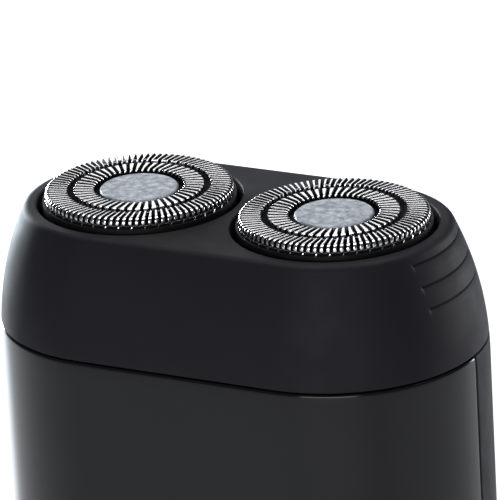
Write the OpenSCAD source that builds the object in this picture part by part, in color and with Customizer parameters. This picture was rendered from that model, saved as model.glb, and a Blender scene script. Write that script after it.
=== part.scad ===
// Rotary electric shaver with two floating heads, run by two AA cells.
// Frame: +Z up, origin under the middle of the flat base, X along the two heads,
// -Y towards the front with the switch. Heights in the head are depths below the guard tops.

/* [Overall] */
// Height from the base to the tops of the guards
total_h = 124; // [124:1:160]
// Depth of the head housing, from the guard tops down to its seam with the body
seam_depth = 15.3; // [14.8:0.1:18]
// Thickness of the body walls
wall = 1.8; // [1.4:0.1:2.2]
// Rise of the flank from the rim of the head to the widest part of the body
flank_bulge = 3.65; // [3.4:0.05:5]
// Radius of the long curve of the flanks in side view
flank_curve = 37; // [30:1:60]
// Depth at which the flank becomes vertical
flank_depth = 17.5; // [16:0.5:20]
// Radius of the soft edge around the top of the head
top_roll = 1.0; // [0.4:0.1:1.4]
// Thickness of the floor under the body
floor_t = 2; // [1.6:0.1:3]

/* [Guards] */
// Radius of a steel guard
guard_r = 10.9; // [9.5:0.1:14]
// Free distance between the two guards
guard_gap = 3.2; // [3:0.1:6]
// Height of the guards above the face of the head
guard_proud = 1.5; // [1:0.1:2]
// Thickness of the slotted steel
guard_t = 0.45; // [0.35:0.05:0.5]
// Width of the outer slotted track
track_w = 2.62; // [2.4:0.01:3]
// Width of the groove between the tracks
groove_w = 0.74; // [0.6:0.02:1]
// Width of the inner slotted track
inner_track_w = 2.37; // [2:0.01:2.6]
// Number of slots in the outer track
outer_slots = 90; // [60:2:100]
// Number of slots in the inner track
inner_slots = 50; // [30:2:60]
// Width of a slot
slot_w = 0.3; // [0.2:0.02:0.35]
// Slant of the slots from the radius, in degrees
slot_slant = 10.5; // [0:0.5:20]
// Radius of the frosted badge in the middle of a guard
badge_r = 4.55; // [3.5:0.05:5]
// Gap between the plastic guard ring and the edge of its opening
opening_gap = 0.65; // [0.5:0.05:1]
// Width of the rim of the head around the openings
rim_w = 1.5; // [1.4:0.1:2.5]
// How far a head can be pressed in
float_travel = 1.5; // [0.5:0.1:1.6]
// Radius of the pivot pins
pivot_r = 0.6; // [0.5:0.05:0.7]

/* [Cutters] */
// Number of blades on a cutter
blades = 9; // [6:1:12]
// Thickness of a blade
blade_t = 0.45; // [0.3:0.05:0.6]
// Gap between the blade tips and the guard
blade_gap = 0.15; // [0.1:0.01:0.2]
// Radius of the plastic hub of a cutter
cutter_hub_r = 3.2; // [3:0.1:3.6]

/* [Grip ribs] */
// Half width of the ribbed grip on each end of the head
grip_half_w = 6.2; // [4:0.1:7]
// Depth of the first rib groove below the guard tops
grip_first = 2.75; // [2.6:0.05:3.2]
// Distance between rib grooves
grip_pitch = 2.45; // [2:0.05:2.8]
// Number of rib grooves
grip_count = 3; // [1:1:4]
// Depth of a rib groove
grip_cut = 0.35; // [0.2:0.05:0.5]

/* [Drive] */
// Teeth of the motor pinion
pinion_teeth = 12; // [10:1:14]
// Teeth of each drive gear
gear_teeth = 38; // [34:1:42]
// Thickness of the drive gears
gear_t = 3; // [2:0.5:4]
// Backlash of the gear mesh
backlash = 0.16; // [0.1:0.01:0.25]
// Radius of the steel gear pins
gear_pin_r = 1; // [0.8:0.1:1.2]
// Radius of a spindle stem
stem_r = 1.3; // [1.1:0.1:1.4]
// Circumradius of the hexagonal foot of a spindle
foot_r = 2.8; // [2.4:0.1:3]
// Radial clearance of running fits
run_gap = 0.05; // [0.03:0.01:0.1]
// Wire radius of the spindle springs
spring_wire_r = 0.2; // [0.15:0.01:0.25]

/* [Motor] */
// Diameter of the motor can across its round sides
motor_d = 20.4; // [18:0.1:21]
// Thickness of the motor can across its flats
motor_flat = 15.4; // [13:0.1:16]
// Length of the motor can
motor_l = 25; // [20:0.5:26]
// Radius of the motor shaft
shaft_r = 1; // [0.75:0.05:1.2]

/* [Cells] */
// Diameter of an AA cell
cell_d = 14.5; // [13.5:0.1:14.6]
// Length of an AA cell, with its button
cell_l = 50.5; // [40:0.1:50.5]
// Free distance between the two cells
cell_gap = 0.6; // [0.4:0.1:1.5]

/* [Switch] */
// Width of the switch button
switch_w = 11; // [8:0.5:14]
// Length of the switch button
switch_l = 10; // [8:0.5:12]
// Travel of the switch from off to on
switch_travel = 5; // [3:0.5:6]
// Height of the lower end of the button above the base
switch_z = 69; // [66:1:72]

/* [Hidden] */
$fn = 96;
eps = 0.5;

// Plan sizes
head_x = guard_r + guard_gap / 2;
guard_ring_r = guard_r + 0.3;
opening_r = guard_ring_r + opening_gap;
rim_r = opening_r + rim_w;
body_r = rim_r + flank_bulge;
inner_r = body_r - wall;
cavity_r = opening_r + 0.75;

// Depths in the head, below the guard tops
lip_depth = guard_proud + 1.8;
pivot_depth = 4.2;
ring_bottom = 5.4;
plate_depth = 8.4;
plate_t = 1.5;
bar_depth = plate_depth + plate_t + 0.1;
bar_t = 1.1;
hook_depth = bar_depth + bar_t + 0.1;
hook_t = 1;
collar_depth = hook_depth + hook_t + 0.4;
seam_gap = 0.15;
deck_depth = seam_depth + 0.7;
deck_t = 2;
ledge_depth = deck_depth + deck_t;
ledge_t = 1.5;

// Plan sizes of the pieces inside the head
plate_r = cavity_r + 1.1;
chamber_r = plate_r + 0.3;
collar_r = inner_r - 0.8;
collar_t = 0.9;
deck_r = inner_r - 0.15;
hook_half_w = 2.5;
bar_reach = collar_r - collar_t - 0.6;

// Guard steel: outer track, groove, inner track and centre, from the rim inwards
rim_round = 0.35;
groove_out_r = guard_r - track_w;
groove_in_r = groove_out_r - groove_w;
centre_r = groove_in_r - inner_track_w;
groove_depth = 0.9;
channel_t = 0.35;
skirt_depth = 1.6;
skirt_t = 0.5;
slot_depth = 0.95;
badge_depth = 0.2;

// Cutter levels
tip_depth = guard_t + blade_gap;
web_depth = groove_depth + channel_t + 0.25;
disc_depth = 3;
disc_t = 0.5;
hub_bottom = 7;
socket_top = 4.6;
socket_r = 2.2;
tip_r = 1.7;
tip_top = 5;
tip_bottom = 6.9;

// Drive levels
gear_top = 30;
gear_bottom = gear_top + gear_t;
drive_plate_top = gear_bottom + 1;
drive_plate_t = 2;
motor_top = drive_plate_top + drive_plate_t;
motor_bottom = motor_top + motor_l;
end_cap_t = 2;
hub_tube_top = 21;
foot_top = 24;
foot_l = 3;
spring_seat = gear_top - 0.6;
hub_tube_r = foot_r + 1;
gear_module = 2 * head_x / (gear_teeth + pinion_teeth);
column_y = cavity_r - 1.3;
column_r = 2.4;

// Levels in the lower body, above the base
tray_floor = floor_t + 1.5;
cell_bottom = tray_floor + 1.9;
cell_top = cell_bottom + cell_l;
button_h = 1.3;
button_r = 2.75;
tray_top = cell_top + 0.5;
tray_t = 1.5;
cell_x = (cell_d + cell_gap) / 2;
tray_half_w = cell_d + cell_gap / 2 + 0.6;
tray_back = cell_d / 2 + 0.4;
tray_wall = 1.5;

// Battery door, in the rear wall
door_t = wall + 0.1;
door_top = tray_top + tray_t + 1;
door_lip_t = 0.5;
door_gap = 0.2;
door_sweep = asin(max(0.1, tray_half_w + 1.6 - head_x) / body_r);
lip_sweep = door_sweep + 4;

// Case screws
screw_off = 8;
screw_x = head_x + screw_off;
screw_low = 10;
screw_high = total_h - 26;
boss_r = 2.6;
boss_end = sqrt(body_r ^ 2 - (screw_off + boss_r) ^ 2) - 0.2;
screw_r = 0.85;
screw_head_r = 1.7;
screw_head_y = 10.5;

// Switch
recess_depth = 1.8;
recess_gap = 0.8;
pad_t = 2;
stem_w = 2.6;
stem_l = 4;
stem_z = switch_z + (switch_l - stem_l) / 2;
slider_t = 1.5;
slot_gap = 0.2;

function z_at(depth) = total_h - depth;
function flank_r(depth) =
    depth >= flank_depth ? body_r
    : body_r - flank_curve + sqrt(flank_curve ^ 2 - (flank_depth - depth) ^ 2);
// Points of an arc about [x, z], from angle a to angle b in n steps
function arc(x, z, r, a, b, n) =
    [for (i = [0 : n]) let (t = a + (b - a) * i / n) [x + r * cos(t), z + r * sin(t)]];
// Points of the flank curve between two depths, deeper one first
function flank_points(deep, shallow, n) =
    [for (i = [0 : n]) let (d = deep + (shallow - deep) * i / n) [flank_r(d), z_at(d)]];

// Solid with a stadium plan: a half section of [radius, z] points swept round both heads
module stadium(section) {
    for (side = [0, 180])
        rotate([0, 0, side])
            translate([head_x, 0, 0])
                rotate([0, 0, -90])
                    rotate_extrude(angle = 180) polygon(section);
    for (side = [0, 180])
        rotate([90, 0, 90 + side])
            linear_extrude(height = 2 * head_x, center = true) polygon(section);
}

// The half of that solid on the -Y side, turned to the +Y side by side = 180
module half_stadium(section, side = 0) {
    rotate([0, 0, side]) {
        translate([head_x, 0, 0])
            rotate([0, 0, -90]) rotate_extrude(angle = 90) polygon(section);
        translate([-head_x, 0, 0])
            rotate([0, 0, 180]) rotate_extrude(angle = 90) polygon(section);
        rotate([90, 0, -90])
            linear_extrude(height = 2 * head_x, center = true) polygon(section);
    }
}

// Flat stadium plate of radius r between two heights
module plate(r, z0, z1) {
    stadium([[0, z0], [r, z0], [r, z1], [0, z1]]);
}

// Band of the rear wall that bends round by sweep degrees at both ends
module rear_band(section, sweep) {
    for (m = [0, 1])
        mirror([m, 0, 0])
            translate([-head_x, 0, 0])
                rotate([0, 0, 90]) rotate_extrude(angle = sweep) polygon(section);
    rotate([90, 0, 90])
        linear_extrude(height = 2 * head_x, center = true) polygon(section);
}

// Both ends of the rear wall, from the side plane back to start degrees off straight back
module rear_ends(section, start) {
    for (m = [0, 1])
        mirror([m, 0, 0])
            translate([head_x, 0, 0]) rotate_extrude(angle = 90 - start) polygon(section);
}

function box_section(r0, r1, z0, z1) = [[r0, z0], [r1, z0], [r1, z1], [r0, z1]];

// Closed tube of radius r0 to r1 between two heights
module tube(r0, r1, z0, z1) {
    translate([0, 0, z0])
        difference() {
            cylinder(r = r1, h = z1 - z0);
            translate([0, 0, -eps]) cylinder(r = r0, h = z1 - z0 + 2 * eps);
        }
}

module disc(r, z0, z1) {
    translate([0, 0, z0]) cylinder(r = r, h = z1 - z0);
}

module box(x0, x1, y0, y1, z0, z1) {
    translate([x0, y0, z0]) cube([x1 - x0, y1 - y0, z1 - z0]);
}

// Round bar along Y from y0 to y1
module y_rod(r, x, y0, y1, z) {
    translate([x, y0, z]) rotate([-90, 0, 0]) cylinder(r = r, h = y1 - y0);
}

// Helical spring of wire radius w: coil radii ra at the bottom and rb at the top
module coil_spring(ra, rb, z0, z1, turns, w) {
    steps = turns * 14;
    sides = 6;
    rise = (z1 - z0 - 2 * w) / steps;
    rings = [for (i = [0 : steps], j = [0 : sides - 1])
        let (a = i * 360 / 14, b = j * 360 / sides, r = ra + (rb - ra) * i / steps)
        [(r + w * cos(b)) * cos(a), (r + w * cos(b)) * sin(a), z0 + w + rise * i + w * sin(b)]];
    walls = [for (i = [0 : steps - 1], j = [0 : sides - 1])
        let (k = (j + 1) % sides)
        [i * sides + j, (i + 1) * sides + j, (i + 1) * sides + k, i * sides + k]];
    ends = [[for (j = [0 : sides - 1]) j],
        [for (j = [sides - 1 : -1 : 0]) steps * sides + j]];
    polyhedron(points = rings, faces = concat(walls, ends));
}

// ---- Gears ----

// Point of an involute of base radius rb at unroll angle t degrees
function involute(rb, t) =
    [rb * (cos(t) + t * PI / 180 * sin(t)), rb * (sin(t) - t * PI / 180 * cos(t))];
function unroll(rb, r) = sqrt(max(0, (r / rb) ^ 2 - 1)) * 180 / PI;
function turn(p, a) = [p[0] * cos(a) - p[1] * sin(a), p[0] * sin(a) + p[1] * cos(a)];
function flip(p) = [p[0], -p[1]];

// Outline of a spur gear with a tooth centred on +X
function gear_outline(teeth, add, ded) =
    let (pitch_r = gear_module * teeth / 2, rb = pitch_r * cos(20), tip = pitch_r + add,
        root = pitch_r - ded,
        half = 90 / teeth - backlash / 4 / pitch_r * 180 / PI,
        t_pitch = unroll(rb, pitch_r),
        p_pitch = involute(rb, t_pitch),
        lean = half + atan2(p_pitch[1], p_pitch[0]),
        t0 = unroll(rb, max(rb, root)), t1 = unroll(rb, tip), n = 4,
        side = [for (i = [0 : n]) turn(flip(involute(rb, t0 + (t1 - t0) * i / n)), lean)],
        foot = turn([root, 0], min(lean, 0.42 * 360 / teeth)),
        left = concat([foot], side),
        tooth = concat([for (p = left) flip(p)], [for (i = [len(left) - 1 : -1 : 0]) left[i]]))
    [for (k = [0 : teeth - 1], p = tooth) turn(p, 360 / teeth * k)];

// ---- Body ----

// Half section of a whole housing: the wall, its rounded base edge and the floor
function housing_section() =
    concat(
        [[0, 0]],
        arc(body_r - door_t, door_t, door_t, -90, 0, 6),
        upper_section(door_t + 0.1),
        [[inner_r, floor_t], [0, floor_t]]);

// The wall above height z0, with the ledge that carries the deck
function upper_section(z0) =
    concat(
        [[body_r, z0]],
        flank_points(flank_depth, seam_depth + seam_gap, 3),
        [[inner_r, z_at(seam_depth + seam_gap)], [inner_r, z_at(ledge_depth)],
            [inner_r - 1, z_at(ledge_depth)], [inner_r - 1, z_at(ledge_depth + ledge_t)],
            [inner_r, z_at(ledge_depth + ledge_t + 1)], [inner_r, z0]]);

module screw_places() {
    for (x = [-screw_x, screw_x], z = [screw_low, screw_high])
        translate([x, 0, z]) children();
}

module front_housing() {
    color("#0b0b0d")
        difference() {
            union() {
                half_stadium(housing_section());
                box(-switch_w / 2 - 2.5, switch_w / 2 + 2.5, -body_r + recess_depth,
                    -body_r + recess_depth + pad_t, switch_z - 3,
                    switch_z + switch_l + switch_travel + 3);
                screw_places() y_rod(boss_r, 0, -boss_end, 0, 0);
            }
            box(-switch_w / 2 - recess_gap, switch_w / 2 + recess_gap, -body_r - eps,
                -body_r + recess_depth, switch_z - recess_gap,
                switch_z + switch_l + switch_travel + recess_gap);
            box(-stem_w / 2 - slot_gap, stem_w / 2 + slot_gap, -body_r,
                -body_r + recess_depth + pad_t + eps, stem_z - slot_gap,
                stem_z + stem_l + switch_travel + slot_gap);
            screw_places() y_rod(screw_r + run_gap, 0, -7, eps, 0);
        }
}

module rear_housing() {
    opening_top = door_top + door_gap;
    outer = body_r - door_t;
    floor_r = outer - door_lip_t - 0.5;
    base_edge = arc(outer, door_t, door_t, -90, 0, 6);
    color("#1d1d20")
        difference() {
            union() {
                half_stadium(upper_section(opening_top), 180);
                half_stadium(box_section(0, floor_r, 0, floor_t), 180);
                rear_ends(concat(base_edge, [[body_r, opening_top], [outer, opening_top]]),
                    door_sweep + 0.7);
                rear_ends([[floor_r - 0.5, 0], [outer, 0], [inner_r + 0.3, 0.5],
                    [inner_r + 0.3, floor_t], [floor_r - 0.5, floor_t]], lip_sweep + 0.7);
                screw_places() y_rod(boss_r, 0, 0, boss_end, 0);
            }
            screw_places() {
                y_rod(screw_r + 0.2, 0, -eps, body_r, 0);
                y_rod(screw_head_r + 0.3, 0, screw_head_y, body_r, 0);
            }
        }
}

module battery_door() {
    outer = body_r - door_t;
    lip_out = outer - 0.1;
    lip_in = lip_out - door_lip_t;
    color("#1d1d20")
        difference() {
            union() {
                rear_band(concat([[lip_in, 0]], arc(outer, door_t, door_t, -90, 0, 6),
                    [[body_r, door_top], [outer, door_top], [outer, door_top - 1],
                        [lip_in, door_top - 1]]), door_sweep);
                rear_band(box_section(lip_in, lip_out, 0, door_top - 1), lip_sweep);
            }
            for (i = [0 : 4])
                box(-7, 7, body_r - 0.5, body_r + eps, door_top - 8 - 2 * i, door_top - 7 - 2 * i);
        }
}

module case_screws() {
    color("silver")
        screw_places()
            difference() {
                union() {
                    y_rod(screw_r, 0, -6.5, screw_head_y + 0.5, 0);
                    y_rod(screw_head_r, 0, screw_head_y, screw_head_y + 1.4, 0);
                }
                box(-1.2, 1.2, screw_head_y + 0.8, screw_head_y + 2, -0.25, 0.25);
                box(-0.25, 0.25, screw_head_y + 0.8, screw_head_y + 2, -1.2, 1.2);
            }
}

// ---- Switch ----

module switch_button() {
    face = -body_r + 0.05;
    back = -body_r + recess_depth - 0.15;
    color("#2a2a2e")
        difference() {
            union() {
                box(-switch_w / 2, switch_w / 2, face, back, switch_z, switch_z + switch_l);
                box(-stem_w / 2, stem_w / 2, back - eps, -body_r + recess_depth + pad_t + 0.3,
                    stem_z, stem_z + stem_l);
            }
            for (i = [-2 : 2])
                box(-switch_w / 2 + 1, switch_w / 2 - 1, face - eps, face + 0.5,
                    switch_z + switch_l / 2 + 1.6 * i - 0.35, switch_z + switch_l / 2 + 1.6 * i + 0.35);
        }
}

slider_y = -body_r + recess_depth + pad_t + 0.3;

module switch_slider() {
    color("ivory")
        union() {
            box(-4, 4, slider_y, slider_y + slider_t, stem_z - 1.5, stem_z + stem_l + 1.5);
            box(-3, 3, slider_y + slider_t - eps, slider_y + slider_t + 0.8, stem_z, stem_z + 1.5);
        }
}

module switch_contacts() {
    contact_y = slider_y + slider_t + 1;
    color("goldenrod")
        for (z = [stem_z - 4, stem_z + 5])
            box(-3, 3, contact_y, contact_y + 0.4, z, z + 7);
}

// ---- Cells ----

module battery_tray() {
    color("#3a3a3d")
        union() {
            box(-tray_half_w, tray_half_w, -tray_back - tray_wall, -tray_back,
                floor_t, tray_top + tray_t);
            box(-tray_half_w, tray_half_w, -tray_back - eps, tray_back, floor_t, tray_floor);
            box(-tray_half_w, tray_half_w, -tray_back - eps, tray_back,
                tray_top, tray_top + tray_t);
            for (side = [-1, 1])
                box(side * tray_half_w - 0.6 * (side + 1) / 2, side * tray_half_w + 0.6 * (1 - side) / 2,
                    -tray_back - eps, -2, floor_t, tray_top + tray_t);
        }
}

// AA cell with its button up, or down when flipped
module cell(x, up) {
    middle = (cell_bottom + cell_top) / 2;
    translate([x, 0, middle])
        rotate([up ? 0 : 180, 0, 0]) {
            disc(cell_d / 2, -cell_l / 2, cell_l / 2 - button_h);
            disc(button_r, cell_l / 2 - button_h - eps, cell_l / 2);
        }
}

module cell_left() {
    color("#4c6b4f") cell(-cell_x, true);
}

module cell_right() {
    color("#4c6b4f") cell(cell_x, false);
}

// A conical spring under each cell presses it against its upper contact
module cell_springs() {
    color("silver")
        for (x = [-cell_x, cell_x])
            translate([x, 0, 0])
                coil_spring(4.6, 2.2, tray_floor + 0.4, cell_bottom - 0.02, 3, 0.25);
}

module contact_plates() {
    color("silver") {
        box(-tray_half_w + 1, tray_half_w - 1, -5, 5, tray_floor + 0.02, tray_floor + 0.38);
        for (x = [-cell_x, cell_x])
            box(x - 5, x + 5, -5, 5, cell_top + 0.05, tray_top - 0.03);
    }
}

module power_strips() {
    strip_y = -tray_back - tray_wall - 0.5;
    color("goldenrod")
        for (x = [-cell_x, cell_x])
            box(x - 1.5, x + 1.5, strip_y, strip_y + 0.4, tray_top - 4, switch_z - 3.2);
}

// ---- Motor and gear train ----

module motor_frame() {
    top = z_at(drive_plate_top);
    cheek = motor_d / 2 + 0.2;
    color("#4a4a4e")
        difference() {
            union() {
                plate(inner_r - 0.3, top - drive_plate_t, top);
                for (y = [-column_y, column_y])
                    translate([0, y, 0]) disc(column_r, top - eps, z_at(ledge_depth));
                for (side = [-1, 1])
                    box(side * (cheek + 0.75) - 0.75, side * (cheek + 0.75) + 0.75, -6, 6,
                        z_at(motor_bottom), top - drive_plate_t + eps);
            }
            disc(3.1, top - drive_plate_t - eps, top + eps);
            for (x = [-5, 5])
                translate([x, 0, 0]) disc(1.1, top - drive_plate_t - eps, top + eps);
            for (x = [-head_x, head_x])
                translate([x, 0, 0]) disc(gear_pin_r, top - drive_plate_t - eps, top + eps);
            for (y = [-column_y, column_y])
                translate([0, y, 0]) disc(0.9, z_at(ledge_depth) - 7, z_at(ledge_depth) + eps);
        }
}

// Can outline: a circle with two flats
module can_shape(d, flat, z0, z1) {
    intersection() {
        disc(d / 2, z0, z1);
        box(-d, d, -flat / 2, flat / 2, z0 - eps, z1 + eps);
    }
}

module motor_can() {
    skin = 0.7;
    color("silver")
        difference() {
            union() {
                can_shape(motor_d, motor_flat, z_at(motor_bottom), z_at(motor_top));
                disc(3, z_at(motor_top) - eps, z_at(drive_plate_top) - 0.3);
            }
            can_shape(motor_d - 2 * skin, motor_flat - 2 * skin,
                z_at(motor_bottom) - eps, z_at(motor_top) - 1.2);
            disc(shaft_r + run_gap, z_at(motor_top) - 2, z_at(drive_plate_top) + eps);
            for (x = [-5, 5])
                translate([x, 0, 0]) disc(0.85, z_at(motor_top) - 2, z_at(motor_top) + eps);
        }
}

module motor_end_cap() {
    color("whitesmoke")
        difference() {
            union() {
                can_shape(motor_d, motor_flat, z_at(motor_bottom + end_cap_t), z_at(motor_bottom));
                disc(3.5, z_at(motor_bottom) - eps, z_at(motor_bottom) + 1.5);
            }
            disc(shaft_r + run_gap, z_at(motor_bottom + end_cap_t) + 0.6,
                z_at(motor_bottom) + 2);
            for (x = [-6, 6])
                box(x - 1.2, x + 1.2, -0.2, 0.2, z_at(motor_bottom + end_cap_t) - eps,
                    z_at(motor_bottom) + eps);
        }
}

module motor_magnets() {
    color("dimgray")
        for (side = [0, 180])
            rotate([0, 0, side - 38])
                rotate_extrude(angle = 76)
                    polygon(box_section(motor_d / 2 - 2.6, motor_d / 2 - 0.8,
                        z_at(motor_bottom) + 3, z_at(motor_top) - 3));
}

module motor_terminals() {
    color("goldenrod")
        for (x = [-6, 6])
            box(x - 1.1, x + 1.1, -0.15, 0.15, z_at(motor_bottom + end_cap_t) - 0.8,
                z_at(motor_bottom) + 1.2);
}

module motor_armature() {
    color("#8a4b2a")
        difference() {
            union() {
                disc(motor_flat / 2 - 1.1, z_at(motor_bottom) + 5, z_at(motor_top) - 3.5);
                disc(2.4, z_at(motor_bottom) + 2, z_at(motor_bottom) + 5 + eps);
            }
            disc(shaft_r, z_at(motor_bottom), z_at(motor_top));
        }
}

module motor_shaft() {
    color("silver") disc(shaft_r, z_at(motor_bottom + end_cap_t) + 0.7, z_at(gear_top) + 1);
}

module motor_pinion() {
    color("ivory")
        difference() {
            translate([0, 0, z_at(gear_bottom)])
                linear_extrude(height = gear_t)
                    polygon(gear_outline(pinion_teeth, gear_module, gear_module * 1.1));
            disc(shaft_r, z_at(gear_bottom) - eps, z_at(gear_top) + eps);
        }
}

module motor_screws() {
    color("silver")
        for (x = [-5, 5])
            translate([x, 0, 0]) {
                disc(0.8, z_at(motor_top) - 1.1, z_at(drive_plate_top) + eps / 2);
                disc(1.5, z_at(drive_plate_top) + 0.02, z_at(drive_plate_top) + 0.7);
            }
}

module gear_pins() {
    color("silver")
        for (x = [-head_x, head_x])
            translate([x, 0, 0]) disc(gear_pin_r, z_at(motor_top), spring_seat_z() - 0.6);
}

function spring_seat_z() = z_at(spring_seat);

// Drive gear with the hexagonal tube that carries a spindle
module drive_gear(side) {
    phase = side > 0 ? 180 / gear_teeth * (1 - gear_teeth % 2) : 180 / gear_teeth;
    color("ivory")
        translate([side * head_x, 0, 0])
            difference() {
                union() {
                    translate([0, 0, z_at(gear_bottom)])
                        rotate([0, 0, phase])
                            linear_extrude(height = gear_t)
                                polygon(gear_outline(gear_teeth, gear_module * 0.9,
                                    gear_module * 1.25));
                    disc(hub_tube_r, z_at(gear_top) - eps, z_at(hub_tube_top));
                }
                disc(gear_pin_r + run_gap, z_at(gear_bottom) - eps, spring_seat_z() - 0.5);
                translate([0, 0, spring_seat_z()])
                    cylinder(r = foot_r + 0.1, h = 20, $fn = 6);
                for (a = [30 : 60 : 330])
                    rotate([0, 0, a])
                        translate([0.64 * head_x * 0.8, 0, 0])
                            disc(1.3, z_at(gear_bottom) - eps, z_at(gear_top) + eps);
            }
}

module drive_gear_left() {
    drive_gear(-1);
}

module drive_gear_right() {
    drive_gear(1);
}

module spindle(side) {
    color("white")
        translate([side * head_x, 0, 0]) {
            translate([0, 0, z_at(foot_top + foot_l)]) cylinder(r = foot_r, h = foot_l, $fn = 6);
            disc(stem_r, z_at(foot_top) - eps, z_at(tip_bottom) + 0.1);
            translate([0, 0, z_at(tip_bottom)])
                cylinder(r = tip_r, h = tip_bottom - tip_top, $fn = 6);
        }
}

module spindle_left() {
    spindle(-1);
}

module spindle_right() {
    spindle(1);
}

module spindle_spring(side) {
    color("silver")
        translate([side * head_x, 0, 0])
            coil_spring(foot_r - 0.8, foot_r - 0.8, spring_seat_z() + 0.02,
                z_at(foot_top + foot_l) - 0.02, 3, spring_wire_r);
}

module spindle_spring_left() {
    spindle_spring(-1);
}

module spindle_spring_right() {
    spindle_spring(1);
}

// ---- Deck between body and head ----

module drive_deck() {
    top = z_at(deck_depth);
    color("#26262a")
        difference() {
            union() {
                plate(deck_r, top - deck_t, top);
                stadium(box_section(collar_r - collar_t, collar_r, top - eps, z_at(collar_depth)));
                for (x = [-head_x, head_x])
                    translate([x, 0, 0]) disc(3.2, top - eps, top + 1.6);
            }
            for (x = [-head_x, head_x])
                translate([x, 0, 0]) disc(2, top - deck_t - eps, top + 2);
            for (y = [-column_y, column_y])
                translate([0, y, 0]) disc(1, top - deck_t - eps, top + eps);
        }
}

module deck_screws() {
    top = z_at(deck_depth);
    color("silver")
        for (y = [-column_y, column_y])
            translate([0, y, 0]) {
                disc(screw_r, top - deck_t - 5, top + eps / 2);
                disc(screw_head_r, top + 0.02, top + 1);
            }
}

module deck_seal() {
    color("#3b3b3b")
        stadium(box_section(collar_r + 0.03, deck_r - 0.1, z_at(deck_depth) + 0.02,
            z_at(seam_depth) - 0.05));
}

module spindle_seals() {
    top = z_at(deck_depth);
    color("dimgray")
        for (x = [-head_x, head_x])
            translate([x, 0, 0]) tube(stem_r + 0.2, 1.98, top - 1.5, top + 1.4);
}

// ---- Head ----

function head_section() =
    let (roll_depth = guard_proud + top_roll,
        roll_x = body_r - flank_curve
            + sqrt((flank_curve - top_roll) ^ 2 - (flank_depth - roll_depth) ^ 2),
        lean = atan2(flank_depth - roll_depth, roll_x - body_r + flank_curve),
        join = flank_depth - flank_curve * sin(lean))
    concat(
        [[0, z_at(guard_proud)], [0, z_at(seam_depth)]],
        flank_points(seam_depth, join, 10),
        [for (p = arc(roll_x, z_at(roll_depth), top_roll, lean, 90, 5)) if (p[0] > 0) p]);

// One rib groove: a V cut round an end of the head at a depth below the guard tops
module grip_groove(depth) {
    r = flank_r(depth);
    sweep = asin(grip_half_w / r);
    rotate([0, 0, -sweep])
        rotate_extrude(angle = 2 * sweep)
            polygon([[r - grip_cut, z_at(depth)], [r + 1, z_at(depth) + 0.15],
                [r + 1, z_at(depth) - 1.2]]);
}

module head_frame() {
    color("#232326")
        difference() {
            union() {
                difference() {
                    stadium(head_section());
                    plate(cavity_r, z_at(plate_depth) - eps, z_at(lip_depth));
                    plate(chamber_r, z_at(collar_depth), z_at(plate_depth));
                    plate(collar_r + 0.1, z_at(seam_depth) - eps, z_at(collar_depth) + 0.3);
                }
                box(-0.8, 0.8, -3, 3, z_at(plate_depth), z_at(lip_depth) + eps);
                for (side = [0, 180])
                    rotate([0, 0, side])
                        box(-hook_half_w, hook_half_w, bar_reach - 0.7, chamber_r + 0.2,
                            z_at(hook_depth + hook_t), z_at(hook_depth));
            }
            for (x = [-head_x, head_x])
                translate([x, 0, 0]) {
                    disc(opening_r, z_at(lip_depth) - eps, z_at(guard_proud) + eps);
                    translate([0, 0, z_at(guard_proud) - 0.25])
                        cylinder(r1 = opening_r, r2 = opening_r + 0.5, h = 0.5);
                    for (side = [0, 180])
                        rotate([0, 0, side])
                            box(-pivot_r - run_gap, pivot_r + run_gap, cavity_r - eps,
                                cavity_r + 0.85, z_at(pivot_depth + float_travel) - pivot_r - 0.1,
                                z_at(pivot_depth) + pivot_r + run_gap);
                }
            for (side = [0, 180], i = [0 : grip_count - 1])
                rotate([0, 0, side])
                    translate([head_x, 0, 0]) grip_groove(grip_first + grip_pitch * i);
        }
}

module retaining_plate() {
    color("#5a5a60")
        difference() {
            plate(plate_r, z_at(plate_depth + plate_t), z_at(plate_depth));
            for (x = [-head_x, head_x])
                translate([x, 0, 0])
                    disc(cutter_hub_r + 2, z_at(plate_depth + plate_t) - eps,
                        z_at(plate_depth) + eps);
            disc(1.5, z_at(plate_depth + plate_t) - eps, z_at(plate_depth) + eps);
        }
}

module retaining_knob() {
    top = z_at(bar_depth);
    color("#8f9296")
        union() {
            disc(1.45, top - eps, z_at(plate_depth) - 0.05);
            box(-1.5, 1.5, -bar_reach, bar_reach, top - bar_t, top);
            disc(4.5, top - 2.8, top);
            box(-0.9, 0.9, -4, 4, top - 4.4, top - 2.8 + eps);
        }
}

// ---- Shaving heads ----

module pivot_pins(side) {
    color("silver")
        translate([side * head_x, 0, 0])
            for (turn_a = [0, 180])
                rotate([0, 0, turn_a])
                    y_rod(pivot_r, 0, guard_r - 0.8, cavity_r + 0.7, z_at(pivot_depth));
}

module pivot_pins_left() {
    pivot_pins(-1);
}

module pivot_pins_right() {
    pivot_pins(1);
}

module guard_ring(side) {
    color("#151517")
        translate([side * head_x, 0, 0])
            difference() {
                rotate_extrude()
                    polygon([[guard_r - 0.9, z_at(ring_bottom)], [guard_ring_r, z_at(ring_bottom)],
                        [guard_ring_r, z_at(skirt_depth - 0.4)],
                        [guard_r + 0.03, z_at(skirt_depth - 0.4)], [guard_r + 0.03, z_at(skirt_depth)],
                        [guard_r - 0.9, z_at(skirt_depth)]]);
                y_rod(pivot_r + run_gap, 0, -cavity_r, cavity_r, z_at(pivot_depth));
            }
}

module guard_ring_left() {
    guard_ring(-1);
}

module guard_ring_right() {
    guard_ring(1);
}

// Slot pattern of one track: count slanted slots between two radii
module slots(count, r0, r1) {
    for (i = [0 : count - 1])
        rotate([0, 0, i * 360 / count])
            translate([(r0 + r1) / 2, 0])
                rotate([0, 0, -slot_slant])
                    square([(r1 - r0) / cos(slot_slant) + 0.3, slot_w], center = true);
}

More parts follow.
